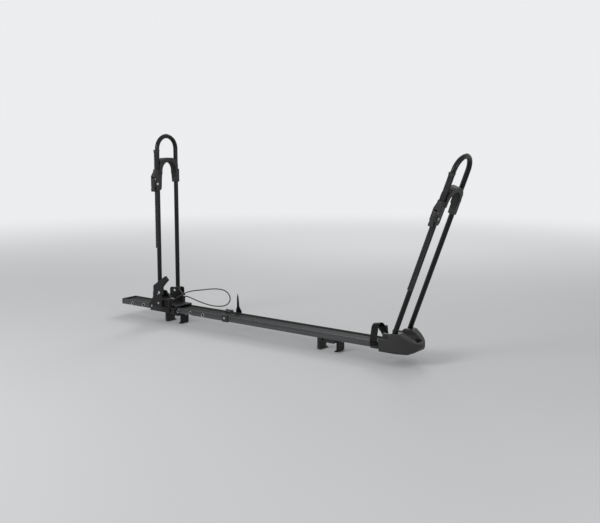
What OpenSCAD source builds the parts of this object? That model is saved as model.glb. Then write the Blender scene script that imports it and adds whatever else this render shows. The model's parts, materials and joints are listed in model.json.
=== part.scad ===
// Roof bike carrier: a channel tray on two roof bar clamps.
// A folding hoop arm with a ratchet hook stands at each end.
// Origin: centre of the front bar seat. +X to the front, +Z up. Millimetres.

/* [Roof bars] */
// Distance between the front and the rear roof bar
bar_spread = 870; // [820:5:900]
// Width of the bar between the claws
bar_w = 84; // [76:1:92]
// Depth of the bar under the seat pad
bar_t = 26; // [20:1:32]
// Height of the tray's underside over the bars
seat_h = 20; // [19:0.5:26]
// Thickness of the rubber seat pad
pad_t = 4; // [3:0.5:5]
// Length of the seat pad along the tray
pad_len = 60; // [50:1:64]
// Width of a clamp across the tray
clamp_w = 56; // [50:1:60]
// Wall of the claws
claw_t = 8; // [6:0.5:10]
// Reach of a claw's toe under the bar
toe = 9; // [6:0.5:11]
// Travel of the moving claw
claw_travel = 6; // [4:0.5:8]
// Diameter of the clamp screw
screw_d = 8; // [6:0.5:9]
// Diameter of the tray bolts
bolt_d = 6; // [5:0.5:6]

/* [Tray] */
// Reach of the tray behind the front bar
tray_rear = 1187; // [1150:1:1260]
// Width of the tray
tray_w = 90; // [84:0.5:90]
// Height of the tray
tray_h = 25; // [24:0.5:28]
// Wall of the tray
tray_wall = 3; // [2.5:0.1:3.5]
// Depth of the tyre channel
channel_depth = 6; // [4:0.5:7]
// Width of the rims beside the channel
rim_w = 6; // [5:0.5:8]
// Spacing of the index holes
index_pitch = 76; // [70:1:80]
// Number of index holes
index_count = 7; // [6:1:8]
// Diameter of the index holes
index_d = 12; // [10:0.5:12]
// Distance of the first index hole from the rear end
index_first = 62; // [60:1:80]

/* [Front housing] */
// Rear face of the housing in front of the front bar
housing_x = 270; // [255:1:290]
// Length of the housing
housing_len = 155; // [150:1:165]
// Width of the housing
housing_w = 150; // [148:1:160]
// Length of the tray inside the housing
tray_seat = 60; // [40:1:62]
// Radius of the held wheel over its tyre
wheel_r = 350; // [345:1:355]
// Radius of the tyre trough
trough_r = 358; // [350:1:370]
// Width of the tyre trough
trough_w = 60; // [50:1:62]

/* [Arms] */
// Spacing of the two legs of a hoop
arm_gauge = 117; // [116:0.5:118]
// Diameter of the hoop tube
tube_d = 20; // [18:0.5:20]
// Wall of the hoop tube
tube_wall = 1.8; // [1.2:0.1:2.5]
// Reach of the front hoop over its pivot
front_reach = 752; // [740:1:780]
// Reach of the rear hoop over its pivot
rear_reach = 728; // [720:1:760]
// Forward lean of the front arm in use
front_lean = 20; // [14:0.5:20]
// Height of the front pivot over the tray rims
front_pivot_h = 25; // [24:0.5:26]
// Height of the rear pivot over the tray rims
rear_pivot_h = 60; // [60:0.5:64]
// Diameter of the pivot pins
pivot_d = 12; // [10:0.5:12]
// Radius of a knuckle's barrel
knuckle_r = 13; // [12.5:0.1:13]
// Height of the rack teeth
tooth_h = 2.5; // [2.2:0.1:2.6]
// Pitch of the rack teeth
tooth_pitch = 7.5; // [7:0.25:9]
// Height of the rack's lower end over the pivot
rack_low = 212; // [180:1:215]
// Width of the rack
rack_w = 16; // [14:0.5:16]
// Thickness of the rack under its teeth
rack_t = 1.8; // [1.6:0.1:2.2]

/* [Hooks] */
// Distance of the front hook's lower end below the top of its hoop
front_hook_drop = 272; // [266:1:290]
// Distance of the rear hook's lower end below the top of its hoop
rear_hook_drop = 252; // [244:1:265]
// Length of the near sleeve
near_sleeve = 93; // [88:1:100]
// Length of the far sleeve
far_sleeve = 60; // [54:1:70]
// Outer width of a sleeve
sleeve_w = 26; // [25:0.5:27]
// Half width of the arch over the tyre
arch_r = 43; // [40:0.5:43]
// Thickness of the arch at its crown
crown_t = 16; // [14:0.5:18]
// Depth of the arch along the wheel
arch_depth = 34; // [28:0.5:34]
// Thickness of the tyre pad in the arch
hook_pad_t = 3; // [2:0.5:4]
// Width of the ratchet lever
lever_w = 16; // [14:0.5:16]
// Diameter of the lever pin
lever_pin_d = 5; // [4:0.5:5]
// Diameter of the lock core
lock_d = 11; // [9:0.5:12]

/* [Rear carriage] */
// Length of the carriage along the tray
carriage_len = 176; // [172:1:190]
// Thickness of the carriage's deck and skirts
carriage_wall = 6; // [5:0.5:6]
// Length of a tower along the tray
tower_len = 58; // [56:1:60]
// Thickness of the side guides
guide_t = 3.8; // [3:0.1:4]
// Thickness of the glides on the tray
glide_t = 1.6; // [1.2:0.1:2]
// Thickness of the release lever
release_t = 8.4; // [6:0.2:9]
// Diameter of the lock cable
cable_d = 5; // [4:0.5:5]

/* [Wheel straps] */
// Width of a strap
strap_w = 32; // [26:1:34]
// Thickness of a strap
strap_t = 2.6; // [2.2:0.1:3]
// Place of the front strap in front of the front bar
front_strap_x = 234; // [215:1:240]
// Rearward lean of the front strap
front_strap_lean = 10; // [0:1:12]
// Height of the closed strap over the tray rims
strap_h = 64; // [60:0.5:68]
// Place of the rear strap behind the front bar
rear_strap_x = 535; // [480:5:560]
// Height of the open tongue over the tray rims
tongue_h = 84; // [70:1:90]

/* [Clearances] */
// Gap of a shaft that turns in a hole, on the radius
run_gap = 0.05; // [0.02:0.01:0.08]
// Gap between moving faces
slide_gap = 0.35; // [0.3:0.05:0.4]
// Gap between seated faces
seat_gap = 0.1; // [0.05:0.05:0.2]

/* [Hidden] */

black = "#26272a";
satin = "#1d1e20";
dark_grey = "#3c3e42";
tray_grey = "#5b5d61";
rubber = "#161617";
steel = "#b9bcc0";

// Rest positions that several pieces share
half_w = tray_w / 2;
z_rim = seat_h + tray_h;
z_floor = z_rim - channel_depth;
tray_x0 = -tray_rear;
tray_x1 = housing_x + tray_seat;
chamber_z0 = seat_h + tray_wall + 0.5;
chamber_z1 = z_floor - tray_wall;
bolt_y = 20;
index_z = (chamber_z0 + chamber_z1) / 2;
leg_y = arm_gauge / 2;
tube_r = tube_d / 2;
slot_half = knuckle_r - 0.6;
knuckle_half = slot_half - 0.4;
spigot_r = tube_r - tube_wall - seat_gap;
socket_low = 20;
socket_high = 48;
wheel_z = z_rim + wheel_r;
front_pivot = [housing_x + 55, 0, z_rim + front_pivot_h];
latch_x = tray_x0 + index_first + 3 * index_pitch;
carriage_x0 = latch_x - 104;
carriage_x1 = carriage_x0 + carriage_len;
rear_pivot = [carriage_x0 + 81, 0, z_rim + rear_pivot_h];

function unit(v) = v / norm(v);
function heading(p, i) = unit(p[min(i + 1, len(p) - 1)] - p[max(i - 1, 0)]);
function beside(p, i, d) = p[i] + d * [-heading(p, i)[1], heading(p, i)[0]];
function arc(c, r, a0, a1, n) =
  [for (i = [0 : n]) let (a = a0 + (a1 - a0) * i / n) c + r * [cos(a), sin(a)]];

// Flat strip of thickness t along a path of points
module strip(p, t) {
  polygon(concat(
    [for (i = [0 : len(p) - 1]) beside(p, i, t / 2)],
    [for (i = [len(p) - 1 : -1 : 0]) beside(p, i, -t / 2)]));
}

// Rectangle with round corners, centred
module rounded(size, r) {
  square([size[0] - 2 * r, size[1]], center = true);
  square([size[0], size[1] - 2 * r], center = true);
  for (x = [-1, 1]) for (y = [-1, 1])
    translate([x * (size[0] / 2 - r), y * (size[1] / 2 - r)]) circle(r = r, $fn = 24);
}

// A box between two corners
module block(low, high) {
  translate(low) cube(high - low);
}

// A cylinder along Y between two places
module rod_y(x, z, r, y0, y1, sides = 32) {
  translate([x, y0, z]) rotate([-90, 0, 0]) cylinder(r = r, h = y1 - y0, $fn = sides);
}

// A cylinder along X between two places
module rod_x(y, z, r, x0, x1, sides = 32) {
  translate([x0, y, z]) rotate([0, 90, 0]) cylinder(r = r, h = x1 - x0, $fn = sides);
}

// An outline in X and Z, drawn from y0 to y1
module slab_y(y0, y1) {
  translate([0, y1, 0]) rotate([90, 0, 0]) linear_extrude(y1 - y0) children();
}

module both_sides() {
  children();
  mirror([0, 1, 0]) children();
}

module tray_outline() {
  difference() {
    polygon([
      [-half_w, seat_h], [half_w, seat_h], [half_w, z_rim], [half_w - rim_w, z_rim],
      [half_w - rim_w - channel_depth, z_floor], [rim_w + channel_depth - half_w, z_floor],
      [rim_w - half_w, z_rim], [-half_w, z_rim]]);
    for (side = [-1, 1]) {
      translate([side * half_w / 2, 0])
        polygon([
          [tray_wall - half_w / 2, chamber_z0], [half_w / 2 - tray_wall, chamber_z0],
          [half_w / 2 - tray_wall, chamber_z1], [tray_wall - half_w / 2, chamber_z1]]);
      translate([side * bolt_y - bolt_d / 2 - 0.4, seat_h - 1])
        square([bolt_d + 0.8, tray_wall + 2]);
    }
  }
}

module tray() {
  color(tray_grey) difference() {
    translate([tray_x0, 0, 0]) rotate([90, 0, 90]) linear_extrude(tray_x1 - tray_x0) tray_outline();
    for (i = [0 : index_count - 1]) both_sides()
      translate([tray_x0 + index_first + i * index_pitch, 0, 0]) {
      rod_y(0, index_z, index_d / 2, half_w - tray_wall - 1, half_w + 1);
      translate([0, half_w - 1.5, index_z]) rotate([-90, 0, 0])
        cylinder(r1 = index_d / 2, r2 = index_d / 2 + 3.2, h = 1.6, $fn = 32);
    }
  }
}

module tray_end_cap() {
  cap_t = 5;
  plug = 14;
  color(black) union() {
    translate([tray_x0 - cap_t, 0, (seat_h + z_rim) / 2]) rotate([90, 0, 90])
      linear_extrude(cap_t) rounded([tray_w + 2, tray_h + 2], 4);
    both_sides() block(
      [tray_x0 - 1, tray_wall + 0.3, chamber_z0 + 0.3],
      [tray_x0 + plug, half_w - tray_wall - 0.3, chamber_z1 - 0.3]);
  }
}

// Front housing

cheek_top = z_rim + 37;
tower_top = z_rim + 49;
tower_run = 24;
housing_low = seat_h;
nose_x = housing_x + housing_len;
nose_len = 100;
lip_r = 13;
tower_x = housing_x + 58;

module housing_side() {
  polygon(concat(
    [[housing_x, housing_low], [housing_x, cheek_top], [tower_x - 18, cheek_top]],
    arc([tower_x - 2, tower_top - 10], 10, 160, 90, 4),
    arc([tower_x + tower_run, tower_top - 10], 10, 90, 48, 3),
    arc([nose_x - lip_r, z_rim + 1], lip_r, 48, -62, 9),
    [[nose_x - 22, housing_low]]));
}

// Plan of the housing: straight sides and an elliptical nose
module housing_plan(inset) {
  half = housing_w / 2 - inset;
  polygon(concat(
    [[housing_x + inset, half], [housing_x + inset, -half]],
    [for (t = [-90 : 10 : 90]) [nose_x - nose_len + (nose_len - inset) * cos(t), half * sin(t)]]));
}

module tyre_trough() {
  translate([housing_x + 5, 0, wheel_z]) rotate([-90, 0, 0]) rotate_extrude($fn = 96) {
    translate([trough_r - trough_w / 2, 0]) circle(d = trough_w, $fn = 48);
    translate([trough_r - trough_w / 2 - 90, -trough_w / 2]) square([90, trough_w]);
  }
}

// Room that a leg needs from its upright stop to the folded place
module leg_room(pivot, stop, low) {
  r = knuckle_r + 2;
  front = [pivot[0], pivot[2]] + (tube_r + 0.6) * [cos(stop), -sin(stop)];
  up = 120 * [sin(stop), cos(stop)];
  slab_y(leg_y - slot_half, leg_y + slot_half) {
    translate([pivot[0], pivot[2]]) circle(r = r, $fn = 48);
    polygon([[housing_x - 10, low], [pivot[0], low], front, front + up, [housing_x - 10, (front + up)[1]]]);
  }
}

module front_housing() {
  p = front_pivot;
  low = p[2] - tube_r - rack_t - tooth_h - 2;
  color(black) difference() {
    intersection() {
      slab_y(-housing_w / 2, housing_w / 2) housing_side();
      translate([0, 0, housing_low]) linear_extrude(tower_top) housing_plan(0);
    }
    tyre_trough();
    block([nose_x - 46, -22, z_rim - 6], [nose_x - lip_r, 22, tower_top]);
    block(
      [housing_x - 1, -half_w - seat_gap, housing_low - 1],
      [tray_x1 + seat_gap, half_w + seat_gap, z_rim + seat_gap]);
    both_sides() {
      leg_room(p, front_lean, low);
      block([housing_x - 1, leg_y, p[2] - 2], [tower_x - 16, housing_w, cheek_top + 1]);
      rod_y(p[0], p[2], pivot_d / 2, trough_w / 2 - 4, housing_w / 2 - 2);
    }
    for (at = housing_screw_places) translate([at[0], at[1], housing_low - 1])
      cylinder(d = 4, h = 15, $fn = 24);
  }
}

floor_t = 4;
floor_setback = 34;
screw_edge = 17;
housing_screw_x = [housing_x + screw_edge, nose_x - floor_setback - screw_edge];
housing_screw_y = housing_w / 2 - screw_edge;
housing_screw_places = [for (x = housing_screw_x) for (side = [-1, 1]) [x, side * housing_screw_y]];

module front_housing_floor() {
  color(dark_grey) difference() {
    translate([0, 0, housing_low - floor_t]) linear_extrude(floor_t) intersection() {
      housing_plan(2);
      translate([housing_x, -housing_w]) square([nose_x - floor_setback - housing_x, 2 * housing_w]);
    }
    for (at = housing_screw_places) translate([at[0], at[1], housing_low - floor_t - 1]) {
      cylinder(d = 4, h = floor_t + 2, $fn = 24);
      cylinder(d = 8, h = 3, $fn = 24);
    }
  }
}

module housing_screws() {
  color(steel) for (at = housing_screw_places) translate([at[0], at[1], housing_low - floor_t]) union() {
    cylinder(d = 8, h = 2, $fn = 24);
    cylinder(d = 4, h = 14, $fn = 24);
  }
}

// Roof bar clamps, drawn around a bar at X = 0

screw_z = pad_t + (seat_h - pad_t) / 2;
claw_x = bar_w / 2;
toe_low = -bar_t - claw_t;
nut_r = 6.4;
nut_x = -22;
tongue_y = 12;
tongue_len = claw_travel + 16;
screw_tail = claw_travel + 9;

// Outline of a claw that hangs down in front of the bar, with its toe turned in
module claw_outline(top) {
  polygon(concat(
    [[claw_x, top], [claw_x + claw_t, top]],
    arc([claw_x + claw_t - 6, toe_low + 6], 6, 0, -90, 4),
    arc([claw_x - toe + 3, toe_low + 3], 3, -90, -180, 3),
    [[claw_x - toe, -bar_t - 2], [claw_x, -bar_t]]));
}

module clamp_saddle() {
  color(black) difference() {
    slab_y(-clamp_w / 2, clamp_w / 2) {
      translate([-claw_x - claw_t, pad_t]) square([2 * claw_x + claw_t - 4, seat_h - pad_t]);
      mirror([1, 0]) claw_outline(seat_h);
    }
    rod_x(0, screw_z, screw_d / 2 + 0.4, nut_x - screw_tail - 2, claw_x);
    rod_y(nut_x, screw_z, nut_r + seat_gap, -clamp_w / 2 - 1, 10);
    for (side = [-1, 1]) {
      translate([0, side * bolt_y, pad_t - 1]) cylinder(d = bolt_d + 0.6, h = seat_h, $fn = 32);
      translate([0, side * bolt_y, pad_t - 1]) cylinder(r = 6.5, h = 6.2, $fn = 32);
      translate([claw_x - tongue_len - 4, side * tongue_y - 3 - slide_gap, screw_z - 4 - slide_gap])
        cube([tongue_len + 4, 6 + 2 * slide_gap, 8 + 2 * slide_gap]);
    }
  }
}

module clamp_pad() {
  color(rubber) difference() {
    block([-pad_len / 2, -clamp_w / 2 + 3, 0], [pad_len / 2, clamp_w / 2 - 3, pad_t]);
    for (x = [-pad_len / 2 : 6 : pad_len / 2])
      block([x - 0.6, -clamp_w, pad_t - 0.8], [x + 0.6, clamp_w, pad_t + 1]);
  }
}

module clamp_claw() {
  color(black) difference() {
    union() {
      slab_y(4 - clamp_w / 2, clamp_w / 2 - 4) claw_outline(seat_h - 1.5);
      for (side = [-1, 1]) translate([claw_x - tongue_len, side * tongue_y - 3, screw_z - 4])
        cube([tongue_len + 1, 6, 8]);
    }
    rod_x(0, screw_z, screw_d / 2 + run_gap, claw_x - 1, claw_x + claw_t + 1);
  }
}

module clamp_screw() {
  head_x = claw_x + claw_t + seat_gap;
  color(steel) difference() {
    union() {
      rod_x(0, screw_z, screw_d / 2, nut_x - screw_tail, head_x + 1);
      rod_x(0, screw_z, screw_d * 0.8, head_x, head_x + screw_d);
    }
    rod_x(0, screw_z, screw_d * 0.42, head_x + 3, head_x + screw_d + 1, 6);
  }
}

module clamp_nut() {
  color(steel) difference() {
    rod_y(nut_x, screw_z, nut_r, -14, 10 - seat_gap);
    rod_x(0, screw_z, screw_d / 2 + run_gap, nut_x - nut_r - 1, nut_x + nut_r + 1);
  }
}

module clamp_bolts() {
  color(steel) for (side = [-1, 1]) translate([0, side * bolt_y, 0]) union() {
    translate([-7, -7, chamber_z0]) cube([14, 14, 5]);
    translate([0, 0, pad_t + 1]) cylinder(d = bolt_d, h = chamber_z0 - pad_t, $fn = 32);
    translate([0, 0, pad_t + 0.2]) cylinder(r = 5.8, h = 5, $fn = 6);
  }
}

module at_rear_bar() { translate([-bar_spread, 0, 0]) children(); }

// Wheel straps, drawn around a strap at X = 0

anchor_t = 2.6;
ear_y = half_w + 0.2 + anchor_t + seat_gap + strap_t / 2;
ear_low = seat_h + 8;
ear_top = z_rim - 1;
ear_pin_z = ear_low + 7;
ear_bend = z_rim + 3;
shoulder = [25, z_rim + strap_h - 15];
rear_top = [2, z_rim + 14];
shoulder_angle = fall(shoulder);
crown_r = shoulder[0] / sin(shoulder_angle);
crown_c = [0, shoulder[1] - crown_r * cos(shoulder_angle)];
buckle_gap = strap_t + 0.4;

module strap_anchor() {
  low = seat_h - 0.2 - anchor_t;
  color(black) difference() {
    block([-strap_w / 2, -half_w - 0.2 - anchor_t, low], [strap_w / 2, half_w + 0.2 + anchor_t, ear_top]);
    block([-strap_w, -half_w - 0.2, seat_h - 0.2], [strap_w, half_w + 0.2, ear_top + 1]);
    both_sides() rod_pin_hole();
  }
}

module rod_pin_hole() { rod_y(0, ear_pin_z, 2.5, half_w - 1, ear_y + 10, 24); }

module strap_pins() {
  color(steel) both_sides() union() {
    rod_y(0, ear_pin_z, 2.5, half_w + 0.3, ear_y + 1, 24);
    rod_y(0, ear_pin_z, 4.5, ear_y + strap_t / 2, ear_y + strap_t / 2 + 1.2, 24);
  }
}

// Turns a strap on its anchor pins
module lean(angle) {
  translate([0, 0, ear_pin_z]) rotate([0, -angle, 0]) translate([0, 0, -ear_pin_z]) children();
}

// From a top point down to the ear: the angle, the direction and a place along and out from it
function fall(top) = atan2(top[1] - ear_bend, ear_y - top[0]);
function run(top) = unit([ear_y - top[0], ear_bend - top[1]]);
function run_at(top, s, n) = top + s * run(top) + n * [-run(top)[1], run(top)[0]];
buckle_s0 = 5;
buckle_s1 = 25;
cheek_t = 2.5;
cheek_n = 12;
lever_s = 9;
lever_n = 8.4;
buckle_pin_d = 4;

// Moves an outline in Y and Z to a place along and out from the strap's straight side
module on_run(top, s, n) { translate(run_at(top, s, n)) rotate(-fall(top)) children(); }

// Draws an outline in Y and Z across the strap, w wide
module across(w) { rotate([90, 0, 90]) translate([0, 0, -w / 2]) linear_extrude(w) children(); }

// Strap over the wheel: up the near side, over the crown and down over the buckle
module front_strap() {
  near = [[-ear_y, ear_low], [-ear_y, ear_bend]];
  crown = arc(crown_c, crown_r, 90 + shoulder_angle, 90 - shoulder_angle, 11);
  tail = [for (s = [buckle_s0, buckle_s1 + 11]) run_at(shoulder, s, buckle_gap)];
  color(satin) translate([front_strap_x, 0, 0]) lean(front_strap_lean) difference() {
    union() {
      across(strap_w) strip(concat(near, crown, tail), strap_t);
      for (s = [buckle_s0 : 4 : buckle_s1 + 9])
        across(strap_w - 4) on_run(shoulder, s, buckle_gap + strap_t / 2 - 0.2) square([1.8, 1]);
    }
    mirror([0, 1, 0]) rod_pin_hole();
  }
}

// Base strap that rises from its ear to a top point, with the buckle's cheeks
module buckle(top) {
  base = [[ear_y, ear_low], [ear_y, ear_bend], run_at(top, buckle_s0, 0)];
  color(black) difference() {
    union() {
      across(strap_w) strip(base, strap_t);
      across(strap_w + 0.6 + 2 * cheek_t) on_run(top, buckle_s0, -strap_t / 2)
        square([buckle_s1 - buckle_s0, strap_t]);
      for (side = [-1, 1]) translate([side * (strap_w + 0.6 + cheek_t) / 2, 0, 0]) across(cheek_t)
        on_run(top, buckle_s0, -strap_t / 2) polygon([
          [0, 0], [buckle_s1 - buckle_s0, 0], [buckle_s1 - buckle_s0, strap_t + 3],
          [8, cheek_n + strap_t / 2], [0, cheek_n + strap_t / 2]]);
    }
    rod_pin_hole();
    across(strap_w + 20) on_run(top, lever_s, lever_n) circle(d = buckle_pin_d, $fn = 24);
  }
}

module buckle_lever(top) {
  color(satin) difference() {
    across(strap_w - 1) {
      on_run(top, lever_s, lever_n) circle(r = 3, $fn = 24);
      on_run(top, lever_s, lever_n) polygon([[0, -1.6], [12, -2.4], [16, -1], [16, 1], [12, 1.4], [0, 3]]);
    }
    across(strap_w + 2) on_run(top, lever_s, lever_n) circle(d = buckle_pin_d + 2 * run_gap, $fn = 24);
  }
}

module buckle_pin(top) {
  across(strap_w + 0.6 + 2 * cheek_t) on_run(top, lever_s, lever_n) circle(d = buckle_pin_d, $fn = 24);
}

module at_front_strap() { translate([front_strap_x, 0, 0]) children(); }
module at_rear_strap() { translate([-rear_strap_x, 0, 0]) mirror([0, 1, 0]) children(); }

module front_strap_anchor() { at_front_strap() strap_anchor(); }
module front_buckle() { at_front_strap() lean(front_strap_lean) buckle(shoulder); }
module front_buckle_lever() { at_front_strap() lean(front_strap_lean) buckle_lever(shoulder); }
module front_strap_pins() {
  color(steel) at_front_strap() {
    strap_pins();
    lean(front_strap_lean) buckle_pin(shoulder);
  }
}

// Open strap: a stiff tongue that stands up on the far side and ends in a point
tongue_path = [
  [-ear_y, ear_low], [-ear_y, ear_bend], [1 - half_w, z_rim + 32], [3 - half_w, z_rim + tongue_h]];
tongue_run = unit(tongue_path[3] - tongue_path[2]);
tongue_teeth = 7;

module rear_strap() {
  half = strap_w / 2;
  color(satin) at_rear_strap() difference() {
    intersection() {
      union() {
        across(strap_w) strip(tongue_path, strap_t);
        for (i = [0 : tongue_teeth - 1])
          across(strap_w - 4) translate(tongue_path[2] + (3 + 5 * i) * tongue_run)
            translate([strap_t / 2 - 0.2, 0]) square([1, 1.8]);
      }
      slab_y(-tray_w, tray_w) polygon([
        [-half, 0], [half, 0], [half, z_rim + 8], [7, z_rim + 26], [4, z_rim + tongue_h - 14],
        [0, z_rim + tongue_h + 2], [-4, z_rim + tongue_h - 14], [-7, z_rim + 26], [-half, z_rim + 8]]);
    }
    mirror([0, 1, 0]) rod_pin_hole();
  }
}

module rear_strap_anchor() { at_rear_strap() strap_anchor(); }
module rear_buckle() { at_rear_strap() buckle(rear_top); }
module rear_buckle_lever() { at_rear_strap() buckle_lever(rear_top); }
module rear_strap_pins() {
  color(steel) at_rear_strap() {
    strap_pins();
    buckle_pin(rear_top);
  }
}

module front_clamp_saddle() { clamp_saddle(); }
module front_clamp_pad() { clamp_pad(); }
module front_clamp_claw() { clamp_claw(); }
module front_clamp_screw() { clamp_screw(); }
module front_clamp_nut() { clamp_nut(); }
module front_clamp_bolts() { clamp_bolts(); }
module rear_clamp_saddle() { at_rear_bar() clamp_saddle(); }
module rear_clamp_pad() { at_rear_bar() clamp_pad(); }
module rear_clamp_claw() { at_rear_bar() clamp_claw(); }
module rear_clamp_screw() { at_rear_bar() clamp_screw(); }
module rear_clamp_nut() { at_rear_bar() clamp_nut(); }
module rear_clamp_bolts() { at_rear_bar() clamp_bolts(); }

// Arms, drawn upright with the pivot at the origin and the near leg at -Y

module at_front_arm() { translate(front_pivot) rotate([0, front_lean, 0]) children(); }
module at_rear_arm() { translate(rear_pivot) children(); }

function bend_start(reach) = reach - leg_y - tube_r;
function rack_top(reach) = bend_start(reach) - 4;

module bent_tube(reach, r, low) {
  both_sides() translate([0, leg_y, low]) cylinder(r = r, h = bend_start(reach) - low, $fn = 24);
  translate([0, 0, bend_start(reach)]) rotate([90, 0, 90]) rotate_extrude(angle = 180, $fn = 48)
    translate([leg_y, 0]) circle(r = r, $fn = 24);
}

module hoop(reach) {
  color(satin) difference() {
    bent_tube(reach, tube_r, socket_low);
    bent_tube(reach, tube_r - tube_wall, socket_low - 1);
  }
}

// Turns what is drawn at the rear of the near leg to the leg's outer side
module on_near_side() { translate([0, -leg_y, 0]) rotate([0, 0, 90]) translate([0, leg_y, 0]) children(); }

// Rack strip on the near leg, with a gap of its teeth at the pawl
rack_root = -tube_r - rack_t;
rack_tip = rack_root - tooth_h;
pawl_u = 35;
gap_floor = 1.5;
gap_mouth = 3.2;

module rack(reach, drop) {
  top = rack_top(reach);
  gap_u = reach - drop + pawl_u;
  first = ceil((rack_low + 4 - gap_u) / tooth_pitch);
  last = floor((top - 13 - gap_u) / tooth_pitch);
  color(dark_grey) on_near_side() difference() {
    slab_y(-leg_y - rack_w / 2, -leg_y + rack_w / 2) polygon(concat(
      [[5 - tube_r, top], [5 - tube_r, rack_low], [rack_tip, rack_low]],
      [for (k = [first : last]) let (u = gap_u + k * tooth_pitch)
        for (p = [
            [rack_tip, -gap_mouth], [rack_root, -gap_floor], [rack_root, gap_floor], [rack_tip, gap_mouth]])
          [p[0], u + p[1]]],
      [[rack_tip, top]]));
    translate([0, -leg_y, 0]) cylinder(r = tube_r + seat_gap, h = reach, $fn = 48);
  }
}

clip_wall = 0.9;

module rack_clip(reach) {
  top = rack_top(reach);
  color(black) on_near_side() translate([0, -leg_y, top - 6]) difference() {
    linear_extrude(8) difference() {
      union() {
        circle(r = tube_r + clip_wall, $fn = 32);
        translate([rack_tip - clip_wall, -rack_w / 2 - clip_wall])
          square([-rack_tip, rack_w + 2 * clip_wall]);
      }
      circle(r = tube_r + seat_gap, $fn = 48);
    }
    translate([rack_tip - seat_gap, -rack_w / 2 - seat_gap, -1])
      cube([-rack_tip, rack_w + 2 * seat_gap, 7 + seat_gap]);
  }
}

module knuckles() {
  color(black) both_sides() difference() {
    union() {
      rod_y(0, 0, knuckle_r, leg_y - knuckle_half, leg_y + knuckle_half, 48);
      translate([0, leg_y, 0]) cylinder(r = tube_r - 0.25, h = socket_low, $fn = 48);
      translate([0, leg_y, socket_low - 1])
        cylinder(r = spigot_r, h = socket_high - socket_low + 1, $fn = 48);
    }
    rod_y(0, 0, pivot_d / 2 + run_gap, 0, 2 * leg_y);
  }
}

// Hook head, drawn from its lower end: a yoke on both legs with an arch over the tyre
// and a ratchet lever on the near leg

arch_u = 85;
far_low = 32;
near_foot = 6;
cheek_u = arch_u - 30;
arch_out = leg_y - 1.5;
arch_top = arch_u + arch_r + crown_t;
sleeve_half = sleeve_w / 2;
sleeve_corner = 6;
sleeve_back = rack_tip - 4.5;
lever_pivot = [rack_tip - 11.5, 50];
lever_cheek = 3.5;
ratchet_back = rack_tip - 17.5;
ratchet_low = 16;
ratchet_top = 64;
ratchet_shoulder = 82;
pocket_top = 60;
lock_at = [rack_tip - 3.5, 29];
lock_boss = 4;

// Outline across the tyre: the arch springs from the sleeves and crowns between the legs
module arch_outline() {
  difference() {
    polygon([
      [-arch_out, arch_u - 14], [arch_out, arch_u - 14], [arch_out, arch_top - 30],
      [arch_out - 4, arch_top - 22], [48, arch_top - 15], [36, arch_top - 5], [20, arch_top],
      [-20, arch_top], [-36, arch_top - 5],
      [-48, arch_top - 15], [4 - arch_out, arch_top - 22], [-arch_out, arch_top - 30]]);
    translate([0, arch_u]) circle(r = arch_r, $fn = 64);
    translate([-arch_r, arch_u - 60]) square([2 * arch_r, 60]);
  }
}

// Inner wall of a sleeve: straight below the arch, then drawn back to the sleeve's foot
module arch_cheek(foot) {
  across(sleeve_w) polygon([
    [leg_y, arch_u], [arch_r, arch_u], [arch_r, cheek_u], [leg_y - sleeve_half, foot], [leg_y, foot]]);
}

module near_sleeve_solid() {
  box_half = lever_w / 2 + lever_cheek;
  translate([(sleeve_half + sleeve_back) / 2, -leg_y, 0]) linear_extrude(near_sleeve)
    rounded([sleeve_half - sleeve_back, sleeve_w], sleeve_corner);
  slab_y(-leg_y - box_half, -leg_y + box_half) polygon([
    [ratchet_back, ratchet_low], [ratchet_back, ratchet_top], [sleeve_back, ratchet_shoulder],
    [sleeve_back + 2, ratchet_shoulder], [sleeve_back + 2, ratchet_low]]);
  rod_y(
    lock_at[0], lock_at[1], lock_d / 2 + 2.5, -leg_y - sleeve_half - lock_boss, -leg_y - sleeve_half + 3);
}

// Room for the rack, the lever with its pin and the lock
module near_sleeve_room() {
  rack_half = rack_w / 2 + 0.6;
  pocket_half = lever_w / 2 + 0.4;
  block([rack_tip - 1.5, -leg_y - rack_half, -1], [4 - tube_r, -leg_y + rack_half, arch_top + 10]);
  block([ratchet_back - 1, -leg_y - pocket_half, -1], [rack_root, -leg_y + pocket_half, pocket_top]);
  rod_y(lever_pivot[0], lever_pivot[1], lever_pin_d / 2, -leg_y - 20, -leg_y + 20);
  rod_y(lock_at[0], lock_at[1], lock_d / 2 + run_gap, -leg_y - sleeve_half - 10, -leg_y - sleeve_half + 2.2);
}

module hook_yoke() {
  color(black) difference() {
    union() {
      on_near_side() near_sleeve_solid();
      translate([0, leg_y, far_low]) linear_extrude(far_sleeve)
        rounded([sleeve_w, sleeve_w], sleeve_corner);
      across(arch_depth) arch_outline();
      arch_cheek(far_low);
      mirror([0, 1, 0]) arch_cheek(near_foot);
    }
    both_sides() translate([0, leg_y, -1]) cylinder(r = tube_r + slide_gap, h = arch_top + 10, $fn = 48);
    on_near_side() near_sleeve_room();
  }
}

// Tyre pad: lines the arch and thins out down its cheeks
module hook_pad() {
  inner = arch_r - hook_pad_t;
  color(rubber) across(sleeve_w - 2) polygon(concat(
    [[arch_r, cheek_u]], arc([0, arch_u], arch_r, 0, 180, 32), [[-arch_r, cheek_u]],
    [[0.5 - arch_r, cheek_u]], arc([0, arch_u], inner, 180, 0, 32), [[arch_r - 0.5, cheek_u]]));
}

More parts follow.
